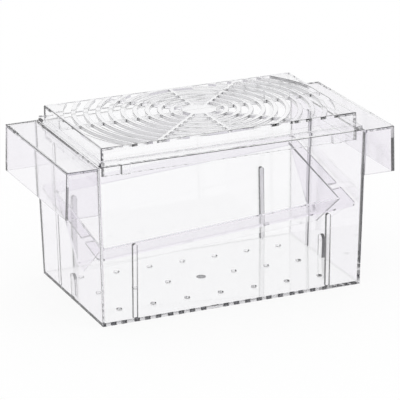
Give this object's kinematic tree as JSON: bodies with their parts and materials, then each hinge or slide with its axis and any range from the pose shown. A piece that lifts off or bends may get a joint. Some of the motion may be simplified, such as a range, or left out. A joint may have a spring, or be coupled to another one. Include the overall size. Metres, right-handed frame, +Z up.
{
  "type": "fish breeding box",
  "caption": "Clear plastic breeding box that floats in an aquarium, with side floats, a slotted lift-off lid and a V-shaped trough that lets newborn fish drop below.",
  "frame": {"origin": "middle of the tank's flat underside, at the middle of the bounding box's bottom", "axes": "+X along the length, towards the float on the right of the picture; -Y the front long wall; +Z up out of the tank"},
  "size_m": [0.2006, 0.0974, 0.103],
  "materials": {
    "tank_clear": "clear, gloss",
    "lid_clear": "clear, gloss",
    "trough_clear": "clear, gloss"
  },
  "bodies": {
    "tank": {"tank": "tank_clear", "float_left": "tank_clear", "float_right": "tank_clear"},
    "lid": {"lid": "lid_clear"},
    "trough": {"trough": "trough_clear"}
  },
  "joints": [
    {"name": "lid_lift", "type": "slide", "parent": "tank", "child": "lid", "axis": [0, 0, 1], "range_m": [0, 0.2]},
    {"name": "trough_lift", "type": "slide", "parent": "tank", "child": "trough", "axis": [0, 0, 1], "range_m": [0, 0.1]}
  ],
  "couplings": [
    {"joint": "trough_lift", "follows": "lid_lift", "ratio": 0.5}
  ]
}
